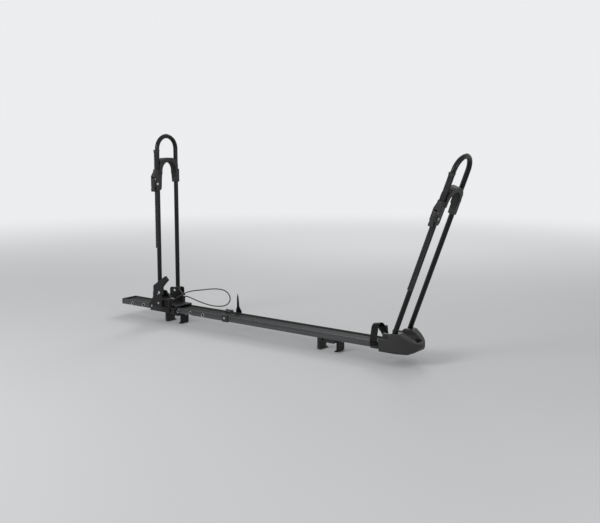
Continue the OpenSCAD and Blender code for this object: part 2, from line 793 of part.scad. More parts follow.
// Lever with the pawl's tip just clear of the teeth and a finger tab below
module hook_lever() {
  color(satin) on_near_side() difference() {
    slab_y(-leg_y - lever_w / 2, -leg_y + lever_w / 2) translate([rack_tip, 0]) polygon([
      [-18, 55], [-7.5, 54], [-6, 44], [-4, 35.4], [-0.3, 34.3], [-0.3, 32.7], [-4, 31.8], [-8.5, 27],
      [-10.5, 14], [-10.5, -3], [-12.5, -6], [-18.5, -6], [-21, -3.5], [-21, 9], [-19.5, 11], [-19.5, 50]]);
    rod_y(lever_pivot[0], lever_pivot[1], lever_pin_d / 2 + run_gap, -leg_y - 20, -leg_y + 20);
    rod_y(lever_pivot[0], lever_pivot[1], 6.5, -leg_y + lever_w / 2 - 3, -leg_y + lever_w / 2 + 1);
  }
}

module hook_lever_pin() {
  reach = lever_w / 2 + lever_cheek;
  color(steel) on_near_side()
    rod_y(lever_pivot[0], lever_pivot[1], lever_pin_d / 2, -leg_y - reach, -leg_y + reach);
}

// Return spring beside the lever, its leg against the roof of the pocket
module hook_spring() {
  y1 = -leg_y + lever_w / 2 + 0.2;
  color(steel) on_near_side() difference() {
    union() {
      rod_y(lever_pivot[0], lever_pivot[1], lever_pin_d / 2 + 2, y1 - 2.6, y1);
      block([lever_pivot[0] + 2, y1 - 2, lever_pivot[1] + 2], [lever_pivot[0] + 3.5, y1, pocket_top]);
    }
    rod_y(lever_pivot[0], lever_pivot[1], lever_pin_d / 2, y1 - 5, y1 + 5);
  }
}

module hook_lock() {
  face = -leg_y - sleeve_half - lock_boss - 0.4;
  color(steel) on_near_side() difference() {
    rod_y(lock_at[0], lock_at[1], lock_d / 2, face, -leg_y - sleeve_half + 2);
    block([lock_at[0] - 0.6, face - 1, lock_at[1] - 3], [lock_at[0] + 0.6, face + 2, lock_at[1] + 3]);
  }
}

module at_front_hook() { at_front_arm() translate([0, 0, front_reach - front_hook_drop]) children(); }
module at_rear_hook() { at_rear_arm() translate([0, 0, rear_reach - rear_hook_drop]) children(); }

module front_hoop() { at_front_arm() hoop(front_reach); }
module front_rack() { at_front_arm() rack(front_reach, front_hook_drop); }
module front_rack_clip() { at_front_arm() rack_clip(front_reach); }
module front_knuckles() { at_front_arm() knuckles(); }
module front_pivot_pins() {
  color(steel) both_sides()
    rod_y(front_pivot[0], front_pivot[2], pivot_d / 2, trough_w / 2, housing_w / 2 - 2);
}
module front_hook_yoke() { at_front_hook() hook_yoke(); }
module front_hook_pad() { at_front_hook() hook_pad(); }
module front_hook_lever() { at_front_hook() hook_lever(); }
module front_hook_lever_pin() { at_front_hook() hook_lever_pin(); }
module front_hook_spring() { at_front_hook() hook_spring(); }
module front_hook_lock() { at_front_hook() hook_lock(); }
module rear_hoop() { at_rear_arm() hoop(rear_reach); }
module rear_rack() { at_rear_arm() rack(rear_reach, rear_hook_drop); }
module rear_rack_clip() { at_rear_arm() rack_clip(rear_reach); }
module rear_knuckles() { at_rear_arm() knuckles(); }
module rear_pivot_pins() {
  color(steel) both_sides() rod_y(rear_pivot[0], rear_pivot[2], pivot_d / 2, tower_in, tower_out);
}
module rear_hook_yoke() { at_rear_hook() hook_yoke(); }
module rear_hook_pad() { at_rear_hook() hook_pad(); }
module rear_hook_lever() { at_rear_hook() hook_lever(); }
module rear_hook_lever_pin() { at_rear_hook() hook_lever_pin(); }
module rear_hook_spring() { at_rear_hook() hook_spring(); }
module rear_hook_lock() { at_rear_hook() hook_lock(); }

// Rear carriage

glide_gap = 0.15;
deck_z0 = z_rim + glide_gap + glide_t;
deck_z1 = deck_z0 + carriage_wall;
skirt_in = half_w + glide_gap + glide_t;
skirt_out = skirt_in + carriage_wall;
skirt_low = z_rim - 16;
guide_in = skirt_out + seat_gap;
guide_out = guide_in + guide_t;
tower_in = 36;
tower_out = leg_y + slot_half + 4.1;
tower_x0 = carriage_x0 + 50;
tower_x1 = tower_x0 + tower_len;
latch_pin_r = index_d / 2 - 0.3;
release_at = [rear_pivot[0] + 20, rear_pivot[2] + 8];
release_pin_r = 4;
release_y = tower_out + 0.5;
guide_screw_x = [carriage_x0 + 24, carriage_x1 - 22];
guide_screw_z = z_rim - 7;
tower_screw = [latch_x - 17, z_rim + 16];
slope_x = tower_x1 + 25;
tower_foot = 24;
guide_rake = 9;
cable_y = 41;
cable_z = 82;

// Tower with a broad foot behind, a slope in front and a slot for the leg, open to the front and the rear
module tower() {
  p = rear_pivot;
  difference() {
    union() {
      slab_y(tower_in, tower_out) polygon(concat(
        [[tower_x0 - tower_foot, deck_z0], [tower_x0 - tower_foot + 4, deck_z1 + 2], [tower_x0, p[2] - 16]],
        arc([tower_x0 + 10, p[2] + 3], 10, 180, 90, 4), arc([tower_x1 - 8, p[2] + 5], 8, 90, 0, 4),
        [[tower_x1, deck_z0]]));
      slab_y(tower_in, tower_in + 18) polygon([
        [tower_x1 - 1, deck_z0], [tower_x1 - 1, p[2] + 6], [slope_x - 8, p[2] - 8], [slope_x, p[2] - 16],
        [slope_x, deck_z0]]);
    }
    block(
      [tower_x0 - 40, leg_y - slot_half, p[2] - knuckle_r - 2],
      [slope_x + 1, leg_y + slot_half, p[2] + 60]);
    rod_y(p[0], p[2], pivot_d / 2, tower_in - 1, tower_out + 1);
  }
}

module carriage_body() {
  color(black) difference() {
    union() {
      difference() {
        block([carriage_x0, -skirt_out, skirt_low], [carriage_x1, skirt_out, deck_z1]);
        block([carriage_x0 - 1, -skirt_in, skirt_low - 1], [carriage_x1 + 1, skirt_in, deck_z0]);
      }
      both_sides() tower();
    }
    mirror([0, 1, 0]) {
      rod_y(release_at[0], release_at[1], release_pin_r, tower_out - 3.8, tower_out + 1);
      rod_y(latch_x, index_z, latch_pin_r + run_gap, half_w, guide_out + 1);
    }
    both_sides() {
      for (x = guide_screw_x) rod_y(x, guide_screw_z, 2.5, skirt_in - 1, skirt_out + 1, 24);
      rod_y(tower_screw[0], tower_screw[1], 3, tower_out - 12, tower_out + 1, 24);
    }
  }
}

module carriage_guides() {
  color(dark_grey) difference() {
    both_sides() difference() {
      union() {
        slab_y(guide_in, guide_out) polygon([
          [carriage_x0 + 11, seat_h - 4], [carriage_x1 - 10, seat_h - 4], [carriage_x1 - 10, z_rim + 1],
          [carriage_x0 + 11 + guide_rake, z_rim + 1]]);
        block(
          [carriage_x0 + 11, half_w - 9, seat_h - 4], [carriage_x1 - 10, guide_in + 1, seat_h - slide_gap]);
      }
      for (x = guide_screw_x) rod_y(x, guide_screw_z, 2.5, skirt_out - 1, guide_out + 1, 24);
    }
    mirror([0, 1, 0]) rod_y(latch_x, index_z, latch_pin_r + run_gap, half_w, guide_out + 1);
  }
}

// Socket head screw along Y with its head on a face
module face_screw(x, z, r, y0, face) {
  difference() {
    union() {
      rod_y(x, z, r, y0, face + 0.5, 24);
      rod_y(x, z, r + 2, face, face + 2, 24);
    }
    rod_y(x, z, 1.6, face + 0.8, face + 3, 6);
  }
}

module carriage_screws() {
  color(steel) both_sides() {
    for (x = guide_screw_x) face_screw(x, guide_screw_z, 2.5, skirt_in, guide_out);
    face_screw(tower_screw[0], tower_screw[1], 3, tower_out - 12, tower_out);
  }
}

module carriage_glides() {
  run_x = 35;
  color(rubber) both_sides() for (x = [carriage_x0 + 4, carriage_x1 - run_x - 4]) difference() {
    block([x, half_w - rim_w + 0.5, skirt_low + 1], [x + run_x, skirt_in, deck_z0]);
    block([x - 1, 0, 0], [x + run_x + 1, half_w + glide_gap, z_rim + glide_gap]);
  }
}

// Release lever on the near tower: a flat body with a finger that rises forward
module release_lever() {
  p = [rear_pivot[0], rear_pivot[2]];
  color(satin) difference() {
    slab_y(-release_y - release_t, -release_y) translate(p) polygon(concat(
      arc([-14, 4], 5, 180, 270, 3), arc([38, 2], 4, 270, 360, 3), [[42, 36]],
      arc([73, 72], 4, -45, 50, 3), arc([60, 83], 5, 50, 125, 3), arc([-13, 34], 6, 125, 180, 3)));
    rod_y(release_at[0], release_at[1], release_pin_r + run_gap, -release_y - 20, -release_y + 1);
  }
}

module release_lever_pin() {
  color(steel) union() {
    face = -release_y - release_t;
    rod_y(release_at[0], release_at[1], release_pin_r, face - 1, -tower_out + 3.6);
    rod_y(release_at[0], release_at[1], release_pin_r + 2.4, face - 2, face - 0.2);
  }
}

// Index latch: a pull handle with a finger recess, and the pin that locks the carriage
latch_in = guide_out + 6.6;

module index_latch() {
  x0 = tower_x1 + 1.5;
  x1 = carriage_x1 - 15;
  color(satin) union() {
    difference() {
      block([x0, -latch_in - 20, z_rim - 1.5], [x1, -latch_in, z_rim + 43]);
      block([x0 + 5, -latch_in - 21, z_rim + 2], [x1 - 5, -latch_in - 7, z_rim + 35]);
    }
    block([latch_x - 9, -latch_in - 9, index_z - 8], [guide_screw_x[1] - 6, -latch_in, z_rim]);
    rod_y(latch_x, index_z, latch_pin_r, -latch_in - 1, -half_w - 0.4);
  }
}

// Lock cable: a stiff loop for the rear wheel, both ends held by the carriage
cable_route = [
  [-850, -41, 82], [-838, -41, 84.5], [-822, -40, 94], [-806, -38, 104], [-789, -35, 114], [-771, -27, 122],
  [-754, -13, 127], [-738, 4, 129], [-720, 18, 131], [-696, 27, 135], [-668, 31, 139], [-639, 33, 141],
  [-610, 34, 139], [-588, 34, 130], [-575, 34, 115], [-574, 34, 97], [-586, 34, 80], [-606, 34, 69],
  [-632, 34, 63], [-662, 34, 60], [-694, 35, 60], [-728, 38, 62], [-762, 41, 66], [-794, 42, 72],
  [-820, 41, 78], [-838, 41, 81.4], [-850, 41, 82]];
cable_sides = 10;

function along(p, i, t) = let (
  n = len(p) - 1, a = p[max(i - 1, 0)], b = p[i], c = p[min(i + 1, n)], d = p[min(i + 2, n)])
  0.5 * (2 * b + (c - a) * t + (2 * a - 5 * b + 4 * c - d) * t * t + (3 * b - a - 3 * c + d) * t * t * t);

module cable_tube(route, d) {
  last = len(route) - 1;
  path = concat([for (i = [0 : last - 1]) for (t = [0, 0.5]) along(route, i, t)], [route[last]]);
  n = len(path);
  m = cable_sides;
  points = [for (i = [0 : n - 1]) let (
      t = i == 0 || i == n - 1 ? [i == 0 ? 1 : -1, 0, 0] : unit(path[i + 1] - path[i - 1]),
      side = unit(cross(t, [0, 1, 0])), up = cross(side, t))
    for (k = [0 : m - 1]) path[i] + d / 2 * (cos(360 * k / m) * side + sin(360 * k / m) * up)];
  walls = [for (i = [0 : n - 2]) for (k = [0 : m - 1]) let (a = i * m + k, b = i * m + (k + 1) % m)
    for (f = [[a, b, b + m], [a, b + m, a + m]]) f];
  ends = [[for (k = [m - 1 : -1 : 0]) k], [for (k = [0 : m - 1]) (n - 1) * m + k]];
  polyhedron(points, concat(walls, ends));
}

module lock_cable() { color(rubber) cable_tube(cable_route, cable_d); }

module cable_ferrules() {
  color(steel) both_sides() rod_x(cable_y, cable_z, cable_d / 2 + 1.4, slope_x, cable_route[0][0], 24);
}

tray();
tray_end_cap();
front_housing();
front_housing_floor();
housing_screws();
front_strap();
front_strap_anchor();
front_buckle();
front_buckle_lever();
front_strap_pins();
rear_strap();
rear_strap_anchor();
rear_buckle();
rear_buckle_lever();
rear_strap_pins();
front_clamp_saddle();
front_clamp_pad();
front_clamp_claw();
front_clamp_screw();
front_clamp_nut();
front_clamp_bolts();
rear_clamp_saddle();
rear_clamp_pad();
rear_clamp_claw();
rear_clamp_screw();
rear_clamp_nut();
rear_clamp_bolts();
front_hoop();
front_rack();
front_rack_clip();
front_knuckles();
front_pivot_pins();
front_hook_yoke();
front_hook_pad();
front_hook_lever();
front_hook_lever_pin();
front_hook_spring();
front_hook_lock();
rear_hoop();
rear_rack();
rear_rack_clip();
rear_knuckles();
rear_pivot_pins();
rear_hook_yoke();
rear_hook_pad();
rear_hook_lever();
rear_hook_lever_pin();
rear_hook_spring();
rear_hook_lock();
carriage_body();
carriage_guides();
carriage_screws();
carriage_glides();
release_lever();
release_lever_pin();
index_latch();
lock_cable();
cable_ferrules();
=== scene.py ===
import json
import math

import bmesh
import bpy
import numpy as np
from bpy.props import FloatProperty, FloatVectorProperty, IntProperty, PointerProperty
from mathutils import Matrix, Quaternion, Vector


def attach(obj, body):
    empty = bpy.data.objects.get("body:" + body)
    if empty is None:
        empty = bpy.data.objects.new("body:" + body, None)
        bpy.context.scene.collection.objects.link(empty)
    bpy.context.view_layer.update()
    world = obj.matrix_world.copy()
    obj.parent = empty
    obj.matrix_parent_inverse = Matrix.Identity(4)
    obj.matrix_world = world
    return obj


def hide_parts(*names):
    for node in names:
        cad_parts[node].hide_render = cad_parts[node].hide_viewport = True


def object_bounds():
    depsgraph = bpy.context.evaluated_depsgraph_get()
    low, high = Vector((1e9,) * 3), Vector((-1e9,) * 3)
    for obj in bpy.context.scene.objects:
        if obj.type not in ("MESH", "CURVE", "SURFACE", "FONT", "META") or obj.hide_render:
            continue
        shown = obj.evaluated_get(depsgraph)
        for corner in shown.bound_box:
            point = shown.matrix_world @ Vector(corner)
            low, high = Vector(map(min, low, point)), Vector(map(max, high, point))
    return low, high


bl_info = {
    "name": "Roof bike carrier",
    "version": (1, 0, 0),
    "blender": (4, 5, 0),
    "location": "View3D > Sidebar > Carrier",
    "description": "Finishes and details of a roof bike carrier, built on its packed solids",
    "category": "Object",
}

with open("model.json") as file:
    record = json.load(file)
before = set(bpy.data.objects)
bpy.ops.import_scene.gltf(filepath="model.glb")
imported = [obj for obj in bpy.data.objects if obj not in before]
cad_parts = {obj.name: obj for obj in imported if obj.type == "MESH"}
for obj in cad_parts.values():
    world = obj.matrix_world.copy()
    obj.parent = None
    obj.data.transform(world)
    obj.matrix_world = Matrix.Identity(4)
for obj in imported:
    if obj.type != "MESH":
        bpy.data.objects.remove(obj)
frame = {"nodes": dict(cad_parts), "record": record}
CAD_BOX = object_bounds()

MM = 0.001
BODY_OF = {
    node: body
    for body, nodes in frame["record"]["behaviour"]["bodies"].items()
    for node in nodes
}
SLOT_OF = {part["node"]: part["material_slot"] for part in frame["record"]["subparts"]}
# Mouldings of a black slot given a darker copy of the black plastic: painted shade on the rear
# carriage, its release lever and its latch
FINISH_OF = dict.fromkeys(("carriage_body", "release_lever", "index_latch"), "carriage_plastic")

# Places that several pieces share, in millimetres
PIVOT = {"front": (325.0, 70.0), "rear": (-920.0, 105.0)}
LEAN = {"front": math.radians(20.0), "rear": 0.0}
LEG_Y = 58.5
TUBE_R = 10.0
SOCKET_LOW = 20.0
REACH = {"front": 752.0, "rear": 728.0}
HOOK_LOW = {"front": 480.0, "rear": 476.0}
ARCH_U = 85.0
ARCH_R = 43.0
PAD_HALF = 12.0
TRAY_X = (-1187.0, 330.0)
TRAY_HALF = 45.0
TRAY_Z = (20.0, 45.0)
INDEX_X = [-1125.0 + 76.0 * i for i in range(7)]
INDEX_Z = 29.75
CABLE_ROUTE = [
    (-850, -41, 82), (-838, -41, 84.5), (-822, -40, 94), (-806, -38, 104),
    (-789, -35, 114), (-771, -27, 122), (-754, -13, 127), (-738, 4, 129),
    (-720, 18, 131), (-696, 27, 135), (-668, 31, 139), (-639, 33, 141),
    (-610, 34, 139), (-588, 34, 130), (-575, 34, 115), (-574, 34, 97),
    (-586, 34, 80), (-606, 34, 69), (-632, 34, 63), (-662, 34, 60),
    (-694, 35, 60), (-728, 38, 62), (-762, 41, 66), (-794, 42, 72),
    (-820, 41, 78), (-838, 41, 81.4), (-850, 41, 82),
]


class CarrierSizes(bpy.types.PropertyGroup):
    """Sizes of the details that are added to the solids"""

    cable_diameter: FloatProperty(
        name="Cable diameter", description="Diameter of the lock cable's cover",
        default=0.005, min=0.003, max=0.008, unit="LENGTH")
    edge_passes: IntProperty(
        name="Edge rounding", description="Passes that round the edges of the mouldings",
        default=5, min=1, max=12)
    rim_radius: FloatProperty(
        name="Index rim radius", description="Radius of the bright rim in an index hole",
        default=0.0074, min=0.0068, max=0.0082, unit="LENGTH")
    rim_wire: FloatProperty(
        name="Index rim wire", description="Radius of the rim's round section",
        default=0.0011, min=0.0006, max=0.0014, unit="LENGTH")
    grip_height: FloatProperty(
        name="Grip height", description="Height of the finger grips on levers and latch",
        default=0.0009, min=0.0004, max=0.0014, unit="LENGTH")
    pad_rib: FloatProperty(
        name="Pad rib depth", description="Depth of the grooves in the tyre pads",
        default=0.0009, min=0.0003, max=0.0016, unit="LENGTH")


class CarrierColours(bpy.types.PropertyGroup):
    """Colours of the finishes"""

    plastic: FloatVectorProperty(
        name="Moulded plastic", description="Colour of the black mouldings", subtype="COLOR",
        default=(0.026, 0.026, 0.027), min=0.0, max=1.0)
    # Painted shade: a darker copy of the moulded plastic for the rear carriage and its levers
    carriage: FloatVectorProperty(
        name="Carriage plastic", description="Colour of the rear carriage and its levers",
        subtype="COLOR", default=(0.009, 0.009, 0.010), min=0.0, max=1.0)
    dark_plastic: FloatVectorProperty(
        name="Dark plastic", description="Colour of the racks, guides and floor plate",
        subtype="COLOR", default=(0.021, 0.021, 0.023), min=0.0, max=1.0)
    strap: FloatVectorProperty(
        name="Strap plastic", description="Colour of the wheel straps", subtype="COLOR",
        default=(0.006, 0.006, 0.007), min=0.0, max=1.0)
    coat: FloatVectorProperty(
        name="Arm coat", description="Colour of the coat on the hoop tubes", subtype="COLOR",
        default=(0.004, 0.004, 0.005), min=0.0, max=1.0)
    tray: FloatVectorProperty(
        name="Tray", description="Colour of the anodised tray", subtype="COLOR",
        default=(0.072, 0.074, 0.078), min=0.0, max=1.0)
    rubber: FloatVectorProperty(
        name="Rubber", description="Colour of the pads", subtype="COLOR",
        default=(0.012, 0.012, 0.012), min=0.0, max=1.0)
    steel: FloatVectorProperty(
        name="Steel", description="Colour of pins and screws", subtype="COLOR",
        default=(0.60, 0.61, 0.62), min=0.0, max=1.0)


# Node trees

def add(tree, kind, inputs=None, **settings):
    """A new node with its sockets set by name or number, or linked where a socket is given."""
    node = tree.nodes.new(kind)
    for key, value in settings.items():
        setattr(node, key, value)
    for key, value in (inputs or {}).items():
        if isinstance(value, bpy.types.NodeSocket):
            tree.links.new(value, node.inputs[key])
        else:
            node.inputs[key].default_value = value
    return node


def shade(colour, factor):
    """A darker or lighter tone of a colour, with full cover."""
    return tuple(min(1.0, c * factor) for c in colour) + (1.0,)


def tinted(tree, factor, dark, light):
    """A colour between two tints by a factor from 0 to 1."""
    mix = add(tree, "ShaderNodeMix", {0: factor, 6: dark, 7: light}, data_type="RGBA")
    return mix.outputs[2]


def spread(tree, value, low, high, start=0.3, stop=0.7):
    """Maps a value between start and stop to the range from low to high."""
    node = add(tree, "ShaderNodeMapRange", {
        "Value": value, "From Min": start, "From Max": stop, "To Min": low, "To Max": high})
    return node.outputs["Result"]


def noise(tree, vector, scale, detail=3.0, roughness=0.55):
    """A cloudy pattern from 0 to 1, its scale in cycles a metre."""
    node = add(tree, "ShaderNodeTexNoise", {
        "Vector": vector, "Scale": scale, "Detail": detail, "Roughness": roughness})
    return node.outputs["Fac"]


def new_finish(name):
    """An empty material: its tree, its surface shader and its object coordinates."""
    material = bpy.data.materials.new(name)
    material.use_nodes = True
    tree = material.node_tree
    tree.nodes.clear()
    surface = add(tree, "ShaderNodeBsdfPrincipled")
    output = add(tree, "ShaderNodeOutputMaterial")
    tree.links.new(surface.outputs["BSDF"], output.inputs["Surface"])
    place = add(tree, "ShaderNodeTexCoord").outputs["Object"]
    return material, tree, surface, place


def moulded_finish(name, colour, rough, grain=1500.0, depth=0.00007, edge_wear_and_sheen=2.6, sheen=0.32):
    """Moulded plastic: fine spark grain, faint flow marks and paler edges, partly rubbed wear and
    partly painted sheen.
    """
    material, tree, surface, place = new_finish(name)
    link = tree.links.new
    flow = noise(tree, place, 14.0, 4.0)
    body = tinted(tree, flow, shade(colour, 0.82), shade(colour, 1.2))
    # Paler convex edges in patches: partly rubbed wear, partly a painted sheen on the edges
    edge = add(tree, "ShaderNodeAttribute", attribute_name="edge").outputs["Fac"]
    rub = noise(tree, place, 160.0, 5.0, 0.7)
    scuff_and_sheen = add(tree, "ShaderNodeMath", {0: edge, 1: spread(tree, rub, 0.1, 0.9)},
                operation="MULTIPLY").outputs[0]
    link(tinted(tree, scuff_and_sheen, body, shade(colour, edge_wear_and_sheen)), surface.inputs["Base Color"])
    gloss = noise(tree, place, 55.0, 4.0)
    link(spread(tree, gloss, rough - 0.06, rough + 0.08), surface.inputs["Roughness"])
    fine = noise(tree, place, grain, 2.0, 0.5)
    bump = add(tree, "ShaderNodeBump", {"Strength": 0.7, "Distance": depth, "Height": fine})
    link(bump.outputs["Normal"], surface.inputs["Normal"])
    surface.inputs["Specular IOR Level"].default_value = sheen
    return material


def coated_finish(name, colour):
    """Satin powder coat on tube: a soft orange peel and long faint drag marks."""
    material, tree, surface, place = new_finish(name)
    link = tree.links.new
    cloud = noise(tree, place, 9.0, 3.0)
    link(tinted(tree, cloud, shade(colour, 0.8), shade(colour, 1.25)),
         surface.inputs["Base Color"])
    drag = add(tree, "ShaderNodeMapping", {"Vector": place, "Scale": (260.0, 260.0, 7.0)})
    marks = noise(tree, drag.outputs["Vector"], 1.0, 4.0, 0.6)
    link(spread(tree, marks, 0.2, 0.32), surface.inputs["Roughness"])
    peel = noise(tree, place, 520.0, 2.0, 0.5)
    bump = add(tree, "ShaderNodeBump", {"Strength": 0.5, "Distance": 0.00008, "Height": peel})
    link(bump.outputs["Normal"], surface.inputs["Normal"])
    surface.inputs["Specular IOR Level"].default_value = 0.28
    return material


def extruded_finish(name, colour):
    """Anodised extrusion: die lines, a satin bloom and painted shade that darkens the inside of
    the channel, which is also made rougher.
    """
    # Painted shade: the colour is darkened between the channel's inner walls and above its floor
    channel_shade_half, channel_shade_low, blur = 0.0430, 0.0370, 0.0008
    material, tree, surface, place = new_finish(name)
    link = tree.links.new
    lines = add(tree, "ShaderNodeMapping", {"Vector": place, "Scale": (3.0, 900.0, 900.0)})
    die = noise(tree, lines.outputs["Vector"], 1.0, 3.0, 0.6)
    bloom = noise(tree, place, 11.0, 4.0)
    both = add(tree, "ShaderNodeMath", {0: die, 1: bloom}, operation="MULTIPLY_ADD")
    both.inputs[2].default_value = 0.25
    at = add(tree, "ShaderNodeSeparateXYZ", {"Vector": place})
    off = add(tree, "ShaderNodeMath", {0: at.outputs["Y"]}, operation="ABSOLUTE")
    between = add(tree, "ShaderNodeMapRange", {
        "Value": off.outputs[0], "From Min": channel_shade_half, "From Max": channel_shade_half + blur,
        "To Min": 1.0, "To Max": 0.0})
    above = add(tree, "ShaderNodeMapRange", {
        "Value": at.outputs["Z"], "From Min": channel_shade_low, "From Max": channel_shade_low + blur})
    channel_shade = add(tree, "ShaderNodeMath", {
        0: between.outputs["Result"], 1: above.outputs["Result"]}, operation="MULTIPLY")
    metal = tinted(tree, both.outputs[0], shade(colour, 0.8), shade(colour, 1.25))
    # Painted shade: the inside of the channel is darkened to 0.14 of the tray colour
    link(tinted(tree, channel_shade.outputs[0], metal, shade(colour, 0.14)), surface.inputs["Base Color"])
    satin = spread(tree, die, 0.34, 0.5)
    # The painted-shade mask of the channel also raises its roughness
    dull = add(tree, "ShaderNodeMath", {0: channel_shade.outputs[0], 1: 0.22, 2: satin},
               operation="MULTIPLY_ADD")
    link(dull.outputs[0], surface.inputs["Roughness"])
    bump = add(tree, "ShaderNodeBump", {"Strength": 0.35, "Distance": 0.00006, "Height": die})
    link(bump.outputs["Normal"], surface.inputs["Normal"])
    surface.inputs["Metallic"].default_value = 0.55
    return material


def rubber_finish(name, colour):
    """Soft black rubber: dull, with a dusty bloom and a fine pitted skin."""
    material, tree, surface, place = new_finish(name)
    link = tree.links.new
    dust = noise(tree, place, 32.0, 5.0, 0.65)
    link(tinted(tree, dust, shade(colour, 0.75), shade(colour, 1.7)),
         surface.inputs["Base Color"])
    link(spread(tree, dust, 0.68, 0.85), surface.inputs["Roughness"])
    pits = add(tree, "ShaderNodeTexVoronoi", {"Vector": place, "Scale": 900.0})
    bump = add(tree, "ShaderNodeBump", {
        "Strength": 0.5, "Distance": 0.00008, "Height": pits.outputs["Distance"]})
    link(bump.outputs["Normal"], surface.inputs["Normal"])
    surface.inputs["Specular IOR Level"].default_value = 0.35
    return material


def jacket_finish(name, colour):
    """Cable cover: the wires' twist shows faintly through a smooth skin."""
    material, tree, surface, place = new_finish(name)
    link = tree.links.new
    along = add(tree, "ShaderNodeUVMap", uv_map="run").outputs["UV"]
    turned = add(tree, "ShaderNodeMapping", {
        "Vector": along, "Scale": (6.0, 90.0, 1.0)})
    twist = add(tree, "ShaderNodeTexWave", {
        "Vector": turned.outputs["Vector"], "Scale": 0.32, "Distortion": 0.4},
        wave_type="BANDS", bands_direction="DIAGONAL")
    wear = noise(tree, place, 45.0, 4.0)
    link(tinted(tree, wear, shade(colour, 0.8), shade(colour, 1.6)),
         surface.inputs["Base Color"])
    link(spread(tree, wear, 0.36, 0.52), surface.inputs["Roughness"])
    bump = add(tree, "ShaderNodeBump", {
        "Strength": 0.4, "Distance": 0.00012, "Height": twist.outputs["Fac"]})
    link(bump.outputs["Normal"], surface.inputs["Normal"])
    return material


def plated_finish(name, colour):
    """Bright zinc plate: a faint crystal mottle and fine tool marks."""
    material, tree, surface, place = new_finish(name)
    link = tree.links.new
    cells = add(tree, "ShaderNodeTexVoronoi", {"Vector": place, "Scale": 420.0})
    link(tinted(tree, cells.outputs["Distance"], shade(colour, 0.82), shade(colour, 1.1)),
         surface.inputs["Base Color"])
    tool = noise(tree, place, 700.0, 3.0)
    link(spread(tree, tool, 0.2, 0.36), surface.inputs["Roughness"])
    bump = add(tree, "ShaderNodeBump", {"Strength": 0.25, "Distance": 0.00003, "Height": tool})
    link(bump.outputs["Normal"], surface.inputs["Normal"])
    surface.inputs["Metallic"].default_value = 1.0
    return material


def finish_of(slot):
    """The material of a slot, made once."""
    material = bpy.data.materials.get(slot + "_finish")
    if material:
        return material
    colours = bpy.context.scene.carrier_colours
    name = slot + "_finish"
    makers = {
        "black_plastic": lambda: moulded_finish(name, colours.plastic, 0.52),
        "dark_plastic": lambda: moulded_finish(name, colours.dark_plastic, 0.55),
        # Painted shade: the same moulded plastic, darker and with less specular
        "carriage_plastic": lambda: moulded_finish(name, colours.carriage, 0.52, sheen=0.26),
        "strap_plastic": lambda: moulded_finish(
            name, colours.strap, 0.48, grain=900.0, depth=0.00004, sheen=0.1),
        "arm_coat": lambda: coated_finish(name, colours.coat),
        "tray_coat": lambda: extruded_finish(name, colours.tray),
        "black_rubber": lambda: rubber_finish(name, colours.rubber),
        "cable_cover": lambda: jacket_finish(name, colours.rubber),
        "bright_steel": lambda: plated_finish(name, colours.steel),
    }
    return makers[slot]()


# Meshes

def in_scene(name, mesh):
    """A new object of a mesh, at the origin."""
    piece = bpy.data.objects.new(name, mesh)
    bpy.context.scene.collection.objects.link(piece)
    return piece


def settle(piece):
    """Turns a piece with its modifiers into a plain mesh."""
    graph = bpy.context.evaluated_depsgraph_get()
    mesh = bpy.data.meshes.new_from_object(piece.evaluated_get(graph))
    piece.modifiers.clear()
    old = piece.data
    piece.data = mesh
    bpy.data.meshes.remove(old)
    return piece


def smooth_faces(mesh, angle=None):
    """Shades a mesh smooth, with edges sharper than an angle in degrees left crisp."""
    mesh.polygons.foreach_set("use_smooth", [True] * len(mesh.polygons))
    if angle is not None:
        mesh.set_sharp_from_angle(angle=math.radians(angle))


def hand_over(piece, body, slot, *replaced, finish=None):
    """Gives a finished piece its material, from its slot unless a finish is given, hangs it on its
    body and hides the solids it stands for.
    """
    piece.data.materials.clear()
    piece.data.materials.append(finish or finish_of(slot))
    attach(piece, body)
    if replaced:
        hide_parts(*replaced)
    return piece


def mark_edges(mesh, gain=3.0):
    """Stores how far each point stands out from its neighbours, for the paler edges that are
    partly wear and partly painted sheen.
    """
    count = len(mesh.vertices)
    place = np.empty(count * 3)
    normal = np.empty(count * 3)
    ends = np.empty(len(mesh.edges) * 2, dtype=np.int64)
    mesh.vertices.foreach_get("co", place)
    mesh.vertices.foreach_get("normal", normal)
    mesh.edges.foreach_get("vertices", ends)
    place, normal, ends = place.reshape(-1, 3), normal.reshape(-1, 3), ends.reshape(-1, 2)
    step = place[ends[:, 0]] - place[ends[:, 1]]
    step /= np.maximum(np.linalg.norm(step, axis=1), 1e-9)[:, None]
    total, seen = np.zeros(count), np.zeros(count)
    for side, sign in ((0, 1.0), (1, -1.0)):
        lean = sign * (normal[ends[:, side]] * step).sum(axis=1)
        np.add.at(total, ends[:, side], lean)
        np.add.at(seen, ends[:, side], 1.0)
    value = np.clip(total / np.maximum(seen, 1.0) * gain, 0.0, 1.0)
    mesh.attributes.new("edge", "FLOAT", "POINT").data.foreach_set("value", value)


def solid_copy(node):
    """A closed copy of a solid's mesh, its loose triangles joined."""
    mesh = frame["nodes"][node].data.copy()
    shape = bmesh.new()
    shape.from_mesh(mesh)
    bmesh.ops.remove_doubles(shape, verts=shape.verts, dist=1e-6)
    shape.to_mesh(mesh)
    shape.free()
    return mesh


def moulding(node, grid, passes, share):
    """A copy of a moulded solid with the rounded edges that a mould gives."""
    piece = in_scene(node + "_moulding", solid_copy(node))
    even = piece.modifiers.new("Grid", "REMESH")
    even.mode = "VOXEL"
    even.voxel_size = grid * MM
    even.use_smooth_shade = True
    soft = piece.modifiers.new("Round", "SMOOTH")
    soft.factor = 0.5
    soft.iterations = passes
    thin = piece.modifiers.new("Thin", "DECIMATE")
    thin.ratio = share
    settle(piece)
    smooth_faces(piece.data)
    mark_edges(piece.data)
    slot = SLOT_OF[node]
    return hand_over(
        piece, BODY_OF[node], slot, node, finish=finish_of(FINISH_OF.get(node, slot)))


